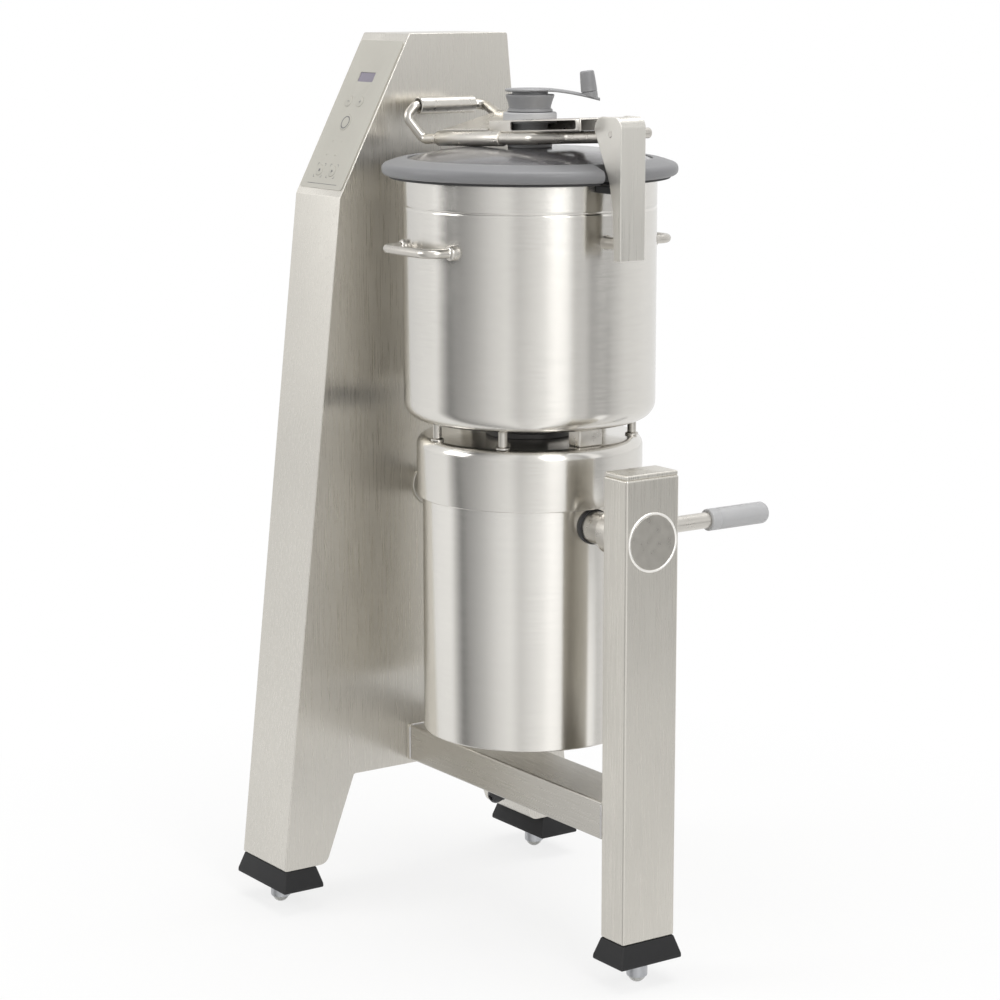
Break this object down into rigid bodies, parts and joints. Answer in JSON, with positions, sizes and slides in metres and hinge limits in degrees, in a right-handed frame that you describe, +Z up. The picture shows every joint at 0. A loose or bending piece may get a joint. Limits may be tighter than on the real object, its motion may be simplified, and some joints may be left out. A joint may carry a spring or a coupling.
{
  "type": "vertical cutter mixer",
  "caption": "Floor-standing vertical cutter mixer: a lidded steel bowl on a tilting motor barrel, held between a tall column and a post, with a tilt lever.",
  "frame": {"origin": "on the floor, below the middle of the machine's outer box", "axes": "+Z up, -Y the operator's side with the control face, +X from the column to the post"},
  "size_m": [0.6586, 0.522, 1.25],
  "materials": {
    "brushed_sheet": "brushed",
    "polished_steel": "polished",
    "cover_steel": "brushed",
    "zinc_steel": "satin",
    "panel_film": "satin",
    "display_glass": "gloss",
    "board_green": "satin",
    "drive_case": "matt",
    "black_plastic": "matt",
    "bronze": "satin",
    "black_rubber": "matt",
    "ball_plastic": "gloss",
    "cast_aluminium": "cast",
    "laminated_iron": "laminated",
    "copper": "enamelled",
    "bearing_steel": "ground",
    "grey_plastic": "satin",
    "dark_plastic": "satin",
    "blade_steel": "ground",
    "smoky_clear": "clear",
    "wiper_plastic": "satin"
  },
  "bodies": {
    "stand": {"column_casing": "brushed_sheet", "side_cover": "cover_steel", "cover_screws": "bearing_steel", "stiffener_plate": "zinc_steel", "control_panel": "panel_film", "display_window": "display_glass", "control_board": "board_green", "drive_unit": "drive_case", "cable_gland": "black_plastic", "pivot_bearings": "bronze", "beam_flange": "brushed_sheet", "base_beam": "brushed_sheet", "support_post": "brushed_sheet", "post_top_cap": "brushed_sheet", "pivot_cover": "polished_steel", "column_feet": "black_rubber", "post_foot": "black_rubber", "caster_cups": "zinc_steel"},
    "front_ball": {"front_ball": "ball_plastic"},
    "rear_ball": {"rear_ball": "ball_plastic"},
    "post_ball": {"post_ball": "ball_plastic"},
    "minus_key": {"minus_key": "panel_film"},
    "plus_key": {"plus_key": "panel_film"},
    "pulse_key": {"pulse_key": "panel_film"},
    "stop_key": {"stop_key": "panel_film"},
    "start_key": {"start_key": "panel_film"},
    "tilt_unit": {"motor_barrel": "polished_steel", "motor_collar": "polished_steel", "bottom_cover": "cover_steel", "motor_frame": "cast_aluminium", "lower_shield": "cast_aluminium", "stator_core": "laminated_iron", "stator_windings": "copper", "motor_bearings": "bearing_steel", "tilt_trunnions": "polished_steel", "trunnion_seals": "black_rubber", "tilt_lever": "polished_steel", "lever_grip": "grey_plastic", "bowl_supports": "polished_steel", "centring_boss": "dark_plastic"},
    "rotor": {"motor_rotor": "laminated_iron", "drive_shaft": "bearing_steel", "cooling_fan": "dark_plastic"},
    "bowl": {"bowl": "polished_steel", "bowl_handles": "polished_steel", "hinge_bracket": "polished_steel", "hinge_pin": "bearing_steel", "bracket_pad": "black_rubber"},
    "blade": {"blade_hub": "grey_plastic", "cutter_blades": "blade_steel"},
    "lid": {"lid_ring": "grey_plastic", "lid_seal": "black_rubber", "lid_dome": "smoky_clear", "lid_hub": "grey_plastic", "lid_arm": "polished_steel", "arm_yoke": "polished_steel"},
    "sleeve": {"arm_sleeve": "polished_steel"},
    "crank": {"wiper_crank": "grey_plastic", "lid_wiper": "wiper_plastic"},
    "knob": {"crank_knob": "grey_plastic"}
  },
  "joints": [
    {"name": "tilt", "type": "hinge", "parent": "stand", "child": "tilt_unit", "pos_m": [0.04525, 0, 0.607], "axis": [1, 0, 0], "range_deg": [0, 95]},
    {"name": "rotor_spin", "type": "hinge", "parent": "tilt_unit", "child": "rotor", "pos_m": [0.04525, 0, 0.465], "axis": [0, 0, 1], "continuous": true},
    {"name": "bowl_lift", "type": "slide", "parent": "tilt_unit", "child": "bowl", "axis": [0, 0, 1], "range_m": [0, 0.25]},
    {"name": "blade_spin", "type": "hinge", "parent": "bowl", "child": "blade", "pos_m": [0.04525, 0, 0.8], "axis": [0, 0, 1], "continuous": true},
    {"name": "lid_hinge", "type": "hinge", "parent": "bowl", "child": "lid", "pos_m": [0.25025, 0, 1.13], "axis": [0, 1, 0], "range_deg": [0, 92]},
    {"name": "crank_spin", "type": "hinge", "parent": "lid", "child": "crank", "pos_m": [0.04525, 0, 1.15], "axis": [0, 0, 1], "continuous": true},
    {"name": "knob_spin", "type": "hinge", "parent": "crank", "child": "knob", "pos_m": [0.09667, 0.06128, 1.17261], "axis": [-0.0783, -0.0934, 0.9925], "continuous": true},
    {"name": "sleeve_spin", "type": "hinge", "parent": "lid", "child": "sleeve", "pos_m": [-0.15962, 0, 1.15196], "axis": [0, 1, 0], "continuous": true},
    {"name": "front_ball_roll", "type": "hinge", "parent": "stand", "child": "front_ball", "pos_m": [-0.26125, -0.2275, 0.0125], "axis": [1, 0, 0], "continuous": true},
    {"name": "rear_ball_roll", "type": "hinge", "parent": "stand", "child": "rear_ball", "pos_m": [-0.26125, 0.2275, 0.0125], "axis": [1, 0, 0], "continuous": true},
    {"name": "post_ball_roll", "type": "hinge", "parent": "stand", "child": "post_ball", "pos_m": [0.29625, 0, 0.0125], "axis": [1, 0, 0], "continuous": true},
    {"name": "minus_key_press", "type": "slide", "parent": "stand", "child": "minus_key", "axis": [0, 0.8864, -0.463], "range_m": [0, 0.0008], "stiffness_N_per_m": 400, "springref_m": -0.0005},
    {"name": "plus_key_press", "type": "slide", "parent": "stand", "child": "plus_key", "axis": [0, 0.8864, -0.463], "range_m": [0, 0.0008], "stiffness_N_per_m": 400, "springref_m": -0.0005},
    {"name": "pulse_key_press", "type": "slide", "parent": "stand", "child": "pulse_key", "axis": [0, 0.8864, -0.463], "range_m": [0, 0.0008], "stiffness_N_per_m": 400, "springref_m": -0.0005},
    {"name": "stop_key_press", "type": "slide", "parent": "stand", "child": "stop_key", "axis": [0, 0.8864, -0.463], "range_m": [0, 0.0008], "stiffness_N_per_m": 400, "springref_m": -0.0005},
    {"name": "start_key_press", "type": "slide", "parent": "stand", "child": "start_key", "axis": [0, 0.8864, -0.463], "range_m": [0, 0.0008], "stiffness_N_per_m": 400, "springref_m": -0.0005}
  ],
  "couplings": [
    {"joint": "blade_spin", "follows": "rotor_spin", "ratio": 1}
  ]
}
